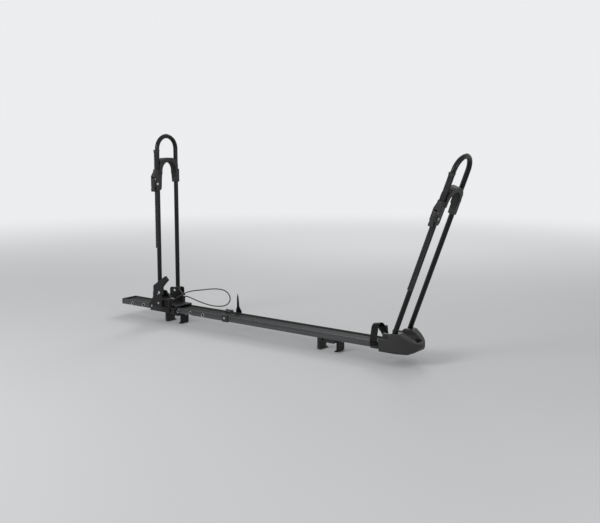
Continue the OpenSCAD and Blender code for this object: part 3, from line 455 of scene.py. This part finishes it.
def swept_tube(name, path, radius, sides):
    """A round tube along a path of points in millimetres, with a map that runs along it."""
    points = [Vector(p) * MM for p in path]
    shape = bmesh.new()
    run = shape.loops.layers.uv.new("run")
    rings, gone = [], [0.0]
    side = None
    for i, point in enumerate(points):
        ahead = (points[min(i + 1, len(points) - 1)] - points[max(i - 1, 0)]).normalized()
        if side is None:
            side = ahead.orthogonal().normalized()
        side = (side - ahead * side.dot(ahead)).normalized()
        up = ahead.cross(side)
        if i:
            gone.append(gone[-1] + (point - points[i - 1]).length)
        rings.append([
            shape.verts.new(point + radius * MM * (
                math.cos(2 * math.pi * k / sides) * side
                + math.sin(2 * math.pi * k / sides) * up))
            for k in range(sides)])
    for i in range(len(rings) - 1):
        for k in range(sides):
            n = (k + 1) % sides
            face = shape.faces.new((rings[i][k], rings[i][n], rings[i + 1][n], rings[i + 1][k]))
            corners = ((k, i), (k + 1, i), (k + 1, i + 1), (k, i + 1))
            for loop, (around, at) in zip(face.loops, corners):
                loop[run].uv = (around / sides, gone[at])
    shape.faces.new(list(reversed(rings[0])))
    shape.faces.new(rings[-1])
    bmesh.ops.recalc_face_normals(shape, faces=shape.faces)
    mesh = bpy.data.meshes.new(name)
    shape.to_mesh(mesh)
    shape.free()
    smooth_faces(mesh, 40.0)
    return in_scene(name, mesh)


def curved(route, steps):
    """Points on one smooth curve through a route."""
    points = []
    last = len(route) - 1
    spots = [Vector(p) for p in route]
    for i in range(last):
        a, b = spots[max(i - 1, 0)], spots[i]
        c, d = spots[i + 1], spots[min(i + 2, last)]
        for k in range(steps):
            t = k / steps
            points.append(0.5 * (
                2 * b + (c - a) * t + (2 * a - 5 * b + 4 * c - d) * t ** 2
                + (3 * b - a - 3 * c + d) * t ** 3))
    return points + [spots[last]]


def on_arm(end, v, y, u):
    """A point of an arm, from its place across, beside and along the leg, in millimetres."""
    x, z = PIVOT[end]
    s, c = math.sin(LEAN[end]), math.cos(LEAN[end])
    return Vector((x + v * c + u * s, y, z - v * s + u * c))


def arm_matrix(end):
    """Places a mesh drawn across, beside and along the leg, in metres."""
    base = on_arm(end, 0.0, 0.0, 0.0) * MM
    return Matrix.Translation(base) @ Matrix.Rotation(LEAN[end], 4, "Y")


def lathe(name, profile, sides, centre, axis):
    """A turned cutter or ring: profile points are (along, radius) in millimetres."""
    shape = bmesh.new()
    turn = Vector((0, 0, 1)).rotation_difference(Vector(axis))
    rings = []
    for along, radius in profile:
        rings.append([
            shape.verts.new((Vector(centre) + turn @ Vector((
                radius * math.cos(2 * math.pi * k / sides),
                radius * math.sin(2 * math.pi * k / sides), along))) * MM)
            for k in range(sides)])
    for low, high in zip(rings, rings[1:]):
        for k in range(sides):
            n = (k + 1) % sides
            shape.faces.new((low[k], low[n], high[n], high[k]))
    shape.faces.new(list(reversed(rings[0])))
    shape.faces.new(rings[-1])
    mesh = bpy.data.meshes.new(name)
    shape.to_mesh(mesh)
    shape.free()
    return mesh


def prism(name, outline, x0, x1):
    """A closed prism of an outline in Y and Z between two places along X, in millimetres."""
    shape = bmesh.new()
    ends = [[shape.verts.new((x * MM, y * MM, z * MM)) for y, z in outline] for x in (x0, x1)]
    count = len(outline)
    for k in range(count):
        n = (k + 1) % count
        shape.faces.new((ends[0][k], ends[0][n], ends[1][n], ends[1][k]))
    shape.faces.new(list(reversed(ends[0])))
    shape.faces.new(ends[1])
    bmesh.ops.recalc_face_normals(shape, faces=shape.faces)
    mesh = bpy.data.meshes.new(name)
    shape.to_mesh(mesh)
    shape.free()
    return mesh


def cut(piece, mesh):
    """Cuts a mesh out of a piece."""
    tool = in_scene("cutter", mesh)
    step = piece.modifiers.new("Cut", "BOOLEAN")
    step.operation = "DIFFERENCE"
    step.solver = "EXACT"
    step.object = tool
    settle(piece)
    bpy.data.objects.remove(tool)
    bpy.data.meshes.remove(mesh)


def joined(meshes, name):
    """One mesh of several, which are used up."""
    shape = bmesh.new()
    for mesh in meshes:
        shape.from_mesh(mesh)
        bpy.data.meshes.remove(mesh)
    out = bpy.data.meshes.new(name)
    shape.to_mesh(out)
    shape.free()
    return out


# Geometry node trees

def new_tree(name, inputs):
    """A node tree with a geometry input and named inputs for its sizes."""
    tree = bpy.data.node_groups.new(name, "GeometryNodeTree")
    face = tree.interface
    face.new_socket("Geometry", in_out="INPUT", socket_type="NodeSocketGeometry")
    keys = {
        label: face.new_socket(label, in_out="INPUT", socket_type=kind).identifier
        for label, kind in inputs.items()}
    face.new_socket("Geometry", in_out="OUTPUT", socket_type="NodeSocketGeometry")
    return tree, keys, add(tree, "NodeGroupInput"), add(tree, "NodeGroupOutput")


def end_tree(tree, source, given, output):
    """Ends a tree in real meshes that carry their material."""
    link = tree.links.new
    real = add(tree, "GeometryNodeRealizeInstances")
    soft = add(tree, "GeometryNodeSetShadeSmooth")
    paint = add(tree, "GeometryNodeSetMaterial")
    link(source, real.inputs["Geometry"])
    link(real.outputs["Geometry"], soft.inputs["Geometry"])
    link(soft.outputs["Geometry"], paint.inputs["Geometry"])
    link(given.outputs["Material"], paint.inputs["Material"])
    link(paint.outputs["Geometry"], output.inputs["Geometry"])


def grown(name, points, tree, keys, values):
    """A piece grown by a tree on points given in millimetres, as a plain mesh."""
    mesh = bpy.data.meshes.new(name)
    mesh.from_pydata([tuple(c * MM for c in p) for p in points], [], [])
    piece = in_scene(name, mesh)
    step = piece.modifiers.new("Grow", "NODES")
    step.node_group = tree
    for label, value in values.items():
        step[keys[label]] = value
    return settle(piece)


def ring_tree():
    """Rings of round wire on points, each facing sideways."""
    tree, keys, given, output = new_tree("rim_rings", {
        "Radius": "NodeSocketFloat", "Wire": "NodeSocketFloat", "Material": "NodeSocketMaterial"})
    link = tree.links.new
    path = add(tree, "GeometryNodeCurvePrimitiveCircle", {"Resolution": 28})
    wire = add(tree, "GeometryNodeCurvePrimitiveCircle", {"Resolution": 8})
    link(given.outputs["Radius"], path.inputs["Radius"])
    link(given.outputs["Wire"], wire.inputs["Radius"])
    ring = add(tree, "GeometryNodeCurveToMesh", {
        "Curve": path.outputs["Curve"], "Profile Curve": wire.outputs["Curve"]})
    rings = add(tree, "GeometryNodeInstanceOnPoints", {
        "Points": given.outputs["Geometry"], "Instance": ring.outputs["Mesh"],
        "Rotation": (math.pi / 2, 0.0, 0.0)})
    end_tree(tree, rings.outputs["Instances"], given, output)
    return tree, keys


def grip_tree():
    """Long soft ribs on points, all turned one way."""
    tree, keys, given, output = new_tree("finger_grips", {
        "Height": "NodeSocketFloat", "Width": "NodeSocketFloat", "Length": "NodeSocketFloat",
        "Turn": "NodeSocketVector", "Material": "NodeSocketMaterial"})
    link = tree.links.new
    ball = add(tree, "GeometryNodeMeshUVSphere", {"Segments": 20, "Rings": 12, "Radius": 0.5})
    size = add(tree, "ShaderNodeCombineXYZ")
    for axis, label in zip("XYZ", ("Length", "Height", "Width")):
        link(given.outputs[label], size.inputs[axis])
    rib = add(tree, "GeometryNodeTransform", {
        "Geometry": ball.outputs["Mesh"], "Scale": size.outputs["Vector"]})
    turn = add(tree, "FunctionNodeEulerToRotation", {"Euler": given.outputs["Turn"]})
    ribs = add(tree, "GeometryNodeInstanceOnPoints", {
        "Points": given.outputs["Geometry"], "Instance": rib.outputs["Geometry"],
        "Rotation": turn.outputs["Rotation"]})
    end_tree(tree, ribs.outputs["Instances"], given, output)
    return tree, keys


# Pieces

class CARRIER_OT_stage(bpy.types.Operator):
    """Makes the floor, the lights, the world and the camera"""

    bl_idname = "carrier.stage"
    bl_label = "Stage"

    backdrop = (0.84, 0.85, 0.86, 1.0)
    floor_tone = (0.8, 0.81, 0.82, 1.0)
    floor_half = 40.0
    floor_gap = 0.0005
    world_light = 0.38
    eye = Vector((2.0071, -2.9314, 0.8779))
    target = Vector((-0.1591, 0.0, 0.3163))
    roll = math.radians(0.16)
    lens = 53.43
    sensor = 36.0
    lamp_target = Vector((-0.4, 0.0, 0.3))
    # Place, diameter and power of each lamp
    lamps = {
        "key": ((-1.4, -3.6, 2.0), 1.8, 62.0),
        "fill": ((3.4, -1.4, 1.1), 1.4, 20.0),
        "back": ((-1.6, 3.2, 2.4), 1.6, 30.0),
    }

    def camera(self, scene):
        data = bpy.data.cameras.new("camera")
        data.sensor_width = self.sensor
        data.lens = self.lens
        camera = bpy.data.objects.new("camera", data)
        scene.collection.objects.link(camera)
        aim = (self.target - self.eye).to_track_quat("-Z", "Y")
        camera.rotation_mode = "QUATERNION"
        camera.location = self.eye
        camera.rotation_quaternion = aim @ Quaternion((0, 0, 1), self.roll)
        scene.camera = camera

    def lamp(self, scene, name, place, size, power):
        data = bpy.data.lights.new(name, "AREA")
        data.shape = "DISK"
        data.size = size
        data.energy = power
        lamp = bpy.data.objects.new(name, data)
        scene.collection.objects.link(lamp)
        lamp.location = place
        lamp.rotation_mode = "QUATERNION"
        aim = self.lamp_target - Vector(place)
        lamp.rotation_quaternion = aim.to_track_quat("-Z", "Y")

    def seen_rays(self, tree):
        """1 for rays that look at the background, in view, in gloss or through glass."""
        path = add(tree, "ShaderNodeLightPath")
        seen = path.outputs["Is Camera Ray"]
        for name in ("Is Glossy Ray", "Is Transmission Ray"):
            seen = add(tree, "ShaderNodeMath", {0: seen, 1: path.outputs[name]},
                       operation="MAXIMUM").outputs[0]
        return seen

    def world(self, scene):
        world = bpy.data.worlds.new("studio")
        world.use_nodes = True
        tree = world.node_tree
        tree.nodes.clear()
        soft = add(tree, "ShaderNodeBackground", {
            "Color": (1, 1, 1, 1), "Strength": self.world_light})
        seen = add(tree, "ShaderNodeBackground", {"Color": self.backdrop, "Strength": 1.0})
        mix = add(tree, "ShaderNodeMixShader", {
            0: self.seen_rays(tree), 1: soft.outputs[0], 2: seen.outputs[0]})
        output = add(tree, "ShaderNodeOutputWorld")
        tree.links.new(mix.outputs[0], output.inputs["Surface"])
        scene.world = world

    def floor(self):
        material = bpy.data.materials.new("pale_floor")
        material.use_nodes = True
        tree = material.node_tree
        tree.nodes.clear()
        place = add(tree, "ShaderNodeTexCoord").outputs["Object"]
        away = add(tree, "ShaderNodeVectorMath", {0: place}, operation="LENGTH")
        fade = spread(tree, away.outputs["Value"], 0.0, 1.0, 1.6, 6.0)
        fade.node.interpolation_type = "SMOOTHSTEP"
        far = add(tree, "ShaderNodeMath", {0: fade, 1: self.seen_rays(tree)},
                  operation="MULTIPLY")
        matt = add(tree, "ShaderNodeBsdfDiffuse", {"Color": self.floor_tone})
        glow = add(tree, "ShaderNodeEmission", {"Color": self.backdrop})
        mix = add(tree, "ShaderNodeMixShader", {
            0: far.outputs[0], 1: matt.outputs[0], 2: glow.outputs[0]})
        output = add(tree, "ShaderNodeOutputMaterial")
        tree.links.new(mix.outputs[0], output.inputs["Surface"])
        half, low = self.floor_half, CAD_BOX[0][2] - self.floor_gap
        mesh = bpy.data.meshes.new("floor")
        mesh.from_pydata(
            [(-half, -half, low), (half, -half, low), (half, half, low), (-half, half, low)],
            [], [(0, 1, 2, 3)])
        mesh.materials.append(material)
        in_scene("floor", mesh)

    def execute(self, context):
        scene = context.scene
        scene.view_settings.view_transform = "Standard"
        self.camera(scene)
        self.world(scene)
        self.floor()
        for name, (place, size, power) in self.lamps.items():
            self.lamp(scene, name, place, size, power)
        return {"FINISHED"}


class CARRIER_OT_lock_cable(bpy.types.Operator):
    """Makes the lock cable's loop between its two ferrules"""

    bl_idname = "carrier.lock_cable"
    bl_label = "Lock cable"

    steps = 6
    sides = 16

    def execute(self, context):
        diameter = context.scene.carrier_sizes.cable_diameter
        path = curved(CABLE_ROUTE, self.steps)
        cable = swept_tube("lock_cable_loop", path, diameter / MM / 2, self.sides)
        hand_over(cable, BODY_OF["lock_cable"], "cable_cover", "lock_cable")
        return {"FINISHED"}


class CARRIER_OT_hoops(bpy.types.Operator):
    """Makes the two bent tubes of the arms"""

    bl_idname = "carrier.hoops"
    bl_label = "Hoops"

    leg_steps = 12
    bend_steps = 40
    sides = 40

    def execute(self, context):
        for end, reach in REACH.items():
            bend = reach - LEG_Y - TUBE_R
            leg = [SOCKET_LOW + (bend - SOCKET_LOW) * k / self.leg_steps
                   for k in range(self.leg_steps)]
            flat = [(-LEG_Y, u) for u in leg]
            for k in range(self.bend_steps + 1):
                a = math.pi * k / self.bend_steps
                flat.append((-LEG_Y * math.cos(a), bend + LEG_Y * math.sin(a)))
            flat += [(LEG_Y, u) for u in reversed(leg)]
            node = end + "_hoop"
            tube = swept_tube(
                node + "_tube", [on_arm(end, 0.0, y, u) for y, u in flat], TUBE_R, self.sides)
            hand_over(tube, BODY_OF[node], "arm_coat", node)
        return {"FINISHED"}


class CARRIER_OT_tray(bpy.types.Operator):
    """Makes the extruded tray with its grooves, chambers and index holes"""

    bl_idname = "carrier.tray"
    bl_label = "Tray"

    wall = 3.0
    chamber = (23.5, 36.0)
    floor_z = 39.0
    ridge_top = 39.5
    ridges = (24.0, 12.0)
    groove = ((0.0, 41.0), (0.7, 41.5), (0.7, 42.1), (0.0, 42.6))
    # Countersink of an index hole, as depth past the wall's face and radius
    sink = ((-4.5, 6.0), (-1.5, 6.0), (0.0, 9.0), (1.0, 11.0))
    hole_sides = 36

    def half_outline(self):
        """Right half of the section, from the middle of the underside to the channel."""
        def corner(y, z, r, a0, a1):
            steps = 5
            return [
                (y + r * math.cos(math.radians(a0 + (a1 - a0) * k / steps)),
                 z + r * math.sin(math.radians(a0 + (a1 - a0) * k / steps)))
                for k in range(steps + 1)]
        half, (low, top) = TRAY_HALF, TRAY_Z
        base, crest = self.floor_z, self.ridge_top
        side = [(half - depth, z) for depth, z in self.groove]
        floor = []
        for ridge in self.ridges:
            floor += [(ridge + 1.4, base), (ridge + 0.8, crest), (ridge - 0.8, crest),
                      (ridge - 1.4, base)]
        return (
            corner(half - 1.6, low + 1.6, 1.6, -90, 0) + side
            + corner(half - 1.2, top - 1.2, 1.2, 0, 90)
            + corner(half - 6.0 + 0.9, top - 0.9, 0.9, 90, 135)
            + [(half - 12.0 + 0.4, base + 0.4), (half - 12.6, base)] + floor
            + [(1.4, base), (0.8, crest)])

    def execute(self, context):
        right = self.half_outline()
        outline = right + [(-y, z) for y, z in reversed(right)]
        tray = in_scene("tray_extrusion", prism("tray", outline, *TRAY_X))
        wall, (low, high) = self.wall, self.chamber
        chambers = [
            prism("chamber", [(side * wall, low), (side * (TRAY_HALF - wall), low),
                              (side * (TRAY_HALF - wall), high), (side * wall, high)],
                  TRAY_X[0] - 1.0, TRAY_X[1] + 1.0)
            for side in (-1, 1)]
        cut(tray, joined(chambers, "chambers"))
        holes = [
            lathe("hole", self.sink, self.hole_sides,
                  (x, side * TRAY_HALF, INDEX_Z), (0, side, 0))
            for x in INDEX_X for side in (-1, 1)]
        cut(tray, joined(holes, "holes"))
        smooth_faces(tray.data, 28.0)
        hand_over(tray, BODY_OF["tray"], "tray_coat", "tray")
        return {"FINISHED"}


class CARRIER_OT_index_rims(bpy.types.Operator):
    """Makes the bright rims in the index holes"""

    bl_idname = "carrier.index_rims"
    bl_label = "Index rims"

    def execute(self, context):
        sizes = context.scene.carrier_sizes
        tree, keys = ring_tree()
        sink = TRAY_HALF - sizes.rim_wire / MM
        points = [(x, side * sink, INDEX_Z) for x in INDEX_X for side in (-1, 1)]
        rims = grown("index_rims", points, tree, keys, {
            "Radius": sizes.rim_radius, "Wire": sizes.rim_wire,
            "Material": finish_of("bright_steel")})
        hand_over(rims, BODY_OF["tray"], "bright_steel")
        return {"FINISHED"}


class CARRIER_OT_tyre_pads(bpy.types.Operator):
    """Makes the ribbed rubber pads in the arches of the hooks"""

    bl_idname = "carrier.tyre_pads"
    bl_label = "Tyre pads"

    thick = 3.0
    leg = 30.0
    lip = 0.5
    ribs = 17
    rib_steps = 6
    arc_steps = 48

    def outline(self, groove):
        """Section of the pad across the tyre, its inner face cut by shallow grooves."""
        outer = [(ARCH_R, -self.leg)] + [
            (ARCH_R * math.cos(math.pi * k / self.arc_steps),
             ARCH_R * math.sin(math.pi * k / self.arc_steps))
            for k in range(self.arc_steps + 1)] + [(-ARCH_R, -self.leg)]
        inner = []
        low = ARCH_R - self.thick
        steps = self.ribs * self.rib_steps
        for k in range(steps + 1):
            a = math.pi * (1.0 - k / steps)
            wave = 0.5 - 0.5 * math.cos(2 * math.pi * k / self.rib_steps)
            r = low + groove * wave ** 2
            inner.append((r * math.cos(a), r * math.sin(a)))
        ends = [(side * (ARCH_R - self.lip), -self.leg) for side in (-1, 1)]
        return outer + ends[:1] + inner + ends[1:]

    def execute(self, context):
        groove = context.scene.carrier_sizes.pad_rib / MM
        for end, low in HOOK_LOW.items():
            section = [(y, z + low + ARCH_U) for y, z in self.outline(groove)]
            mesh = prism(end + "_tyre_pad", section, -PAD_HALF, PAD_HALF)
            mesh.transform(arm_matrix(end))
            smooth_faces(mesh, 50.0)
            node = end + "_hook_pad"
            hand_over(in_scene(end + "_tyre_pad", mesh), BODY_OF[node], SLOT_OF[node], node)
        return {"FINISHED"}


class CARRIER_OT_grips(bpy.types.Operator):
    """Makes the finger grips on the hook levers, the release lever and the index latch"""

    bl_idname = "carrier.grips"
    bl_label = "Finger grips"

    # Faces that carry the grips, as places along Y, and the grips on them
    hook_face = -92.3
    hook_spots = (16, 21, 26, 31, 36)
    release_face = -83.9
    release_start = (46, 58)
    release_step = (5, 4.2)
    release_turn = math.radians(50.0)
    latch_face = -70.25
    latch_spots = (-880.0, -871.0, -862.0, -853.0)
    latch_z = 63.5

    def grow(self, name, node, points, length, width, turn):
        height = bpy.context.scene.carrier_sizes.grip_height
        tree, keys = self.tree
        finish = finish_of(FINISH_OF.get(node, "black_plastic"))
        ribs = grown(name, points, tree, keys, {
            "Height": 2.0 * height, "Width": width * MM, "Length": length * MM,
            "Turn": turn, "Material": finish})
        hand_over(ribs, BODY_OF[node], "black_plastic", finish=finish)

    def execute(self, context):
        self.tree = grip_tree()
        for end, low in HOOK_LOW.items():
            points = [on_arm(end, 0.0, self.hook_face, low + u) for u in self.hook_spots]
            self.grow(end + "_hook_grips", end + "_hook_lever", points, 12.5, 2.6,
                      (0.0, LEAN[end], 0.0))
        x, z = (at + start for at, start in zip(PIVOT["rear"], self.release_start))
        step_x, step_z = self.release_step
        points = [(x + step_x * k, self.release_face, z + step_z * k) for k in range(5)]
        self.grow("release_grips", "release_lever", points, 17.0, 2.4,
                  (0.0, self.release_turn, 0.0))
        points = [(x, self.latch_face, self.latch_z) for x in self.latch_spots]
        self.grow("latch_grips", "index_latch", points, 26.0, 2.6, (0.0, math.pi / 2, 0.0))
        return {"FINISHED"}


class CARRIER_OT_mouldings(bpy.types.Operator):
    """Rounds the edges of the moulded parts"""

    bl_idname = "carrier.mouldings"
    bl_label = "Mouldings"

    # Grid in millimetres, the share of its faces that stay and how softly edges are rounded
    grids = {
        "front_housing": (1.2, 0.3, 3),
        "carriage_body": (1.2, 0.35, 1),
        "front_hook_yoke": (0.55, 0.15, 3),
        "rear_hook_yoke": (0.55, 0.15, 3),
        "index_latch": (0.8, 0.4, 1),
        "release_lever": (0.8, 0.4, 1),
        "front_clamp_saddle": (0.9, 0.4, 1),
        "rear_clamp_saddle": (0.9, 0.4, 1),
        "front_clamp_claw": (0.8, 0.4, 1),
        "rear_clamp_claw": (0.8, 0.4, 1),
        "tray_end_cap": (0.9, 0.4, 1),
        "front_knuckles": (0.8, 0.5, 1),
        "rear_knuckles": (0.8, 0.5, 1),
        "front_hook_lever": (0.5, 0.4, 1),
        "rear_hook_lever": (0.5, 0.4, 1),
        "front_strap": (0.6, 0.35, 1),
        "rear_strap": (0.6, 0.35, 1),
        "front_buckle": (0.55, 0.4, 1),
        "rear_buckle": (0.55, 0.4, 1),
        "front_buckle_lever": (0.5, 0.4, 1),
        "rear_buckle_lever": (0.5, 0.4, 1),
        "front_strap_anchor": (0.6, 0.3, 1),
        "rear_strap_anchor": (0.6, 0.3, 1),
        "front_rack_clip": (0.3, 0.4, 1),
        "rear_rack_clip": (0.3, 0.4, 1),
        "carriage_guides": (0.8, 0.3, 1),
    }

    def execute(self, context):
        passes = context.scene.carrier_sizes.edge_passes
        for node, (grid, share, softness) in self.grids.items():
            moulding(node, grid, passes * softness, share)
        return {"FINISHED"}


class CARRIER_OT_fittings(bpy.types.Operator):
    """Gives the remaining solids, such as pins, screws and racks, their finishes"""

    bl_idname = "carrier.fittings"
    bl_label = "Fittings"

    def execute(self, context):
        for node, solid in frame["nodes"].items():
            if solid.hide_render:
                continue
            finish = finish_of(SLOT_OF[node])
            if not solid.material_slots:
                solid.data.materials.append(finish)
            for slot in solid.material_slots:
                slot.material = finish
        return {"FINISHED"}


class CARRIER_PT_panel(bpy.types.Panel):
    """Lists the carrier's pieces in the sidebar"""

    bl_idname = "CARRIER_PT_panel"
    bl_label = "Roof bike carrier"
    bl_space_type = "VIEW_3D"
    bl_region_type = "UI"
    bl_category = "Carrier"

    def draw(self, context):
        for group in (context.scene.carrier_sizes, context.scene.carrier_colours):
            for name in group.bl_rna.properties.keys():
                if name not in ("rna_type", "name"):
                    self.layout.prop(group, name)
        for step in STEPS:
            self.layout.operator(step.bl_idname)


STEPS = (
    CARRIER_OT_stage,
    CARRIER_OT_lock_cable,
    CARRIER_OT_hoops,
    CARRIER_OT_tray,
    CARRIER_OT_index_rims,
    CARRIER_OT_tyre_pads,
    CARRIER_OT_mouldings,
    CARRIER_OT_grips,
    CARRIER_OT_fittings,
)
CLASSES = (CarrierSizes, CarrierColours) + STEPS + (CARRIER_PT_panel,)


def register():
    for item in CLASSES:
        bpy.utils.register_class(item)
    bpy.types.Scene.carrier_sizes = PointerProperty(type=CarrierSizes)
    bpy.types.Scene.carrier_colours = PointerProperty(type=CarrierColours)


def unregister():
    del bpy.types.Scene.carrier_colours
    del bpy.types.Scene.carrier_sizes
    for item in reversed(CLASSES):
        bpy.utils.unregister_class(item)


def main():
    register()
    for step in STEPS:
        group, name = step.bl_idname.split(".")
        getattr(getattr(bpy.ops, group), name)()


if __name__ == "__main__":
    main()
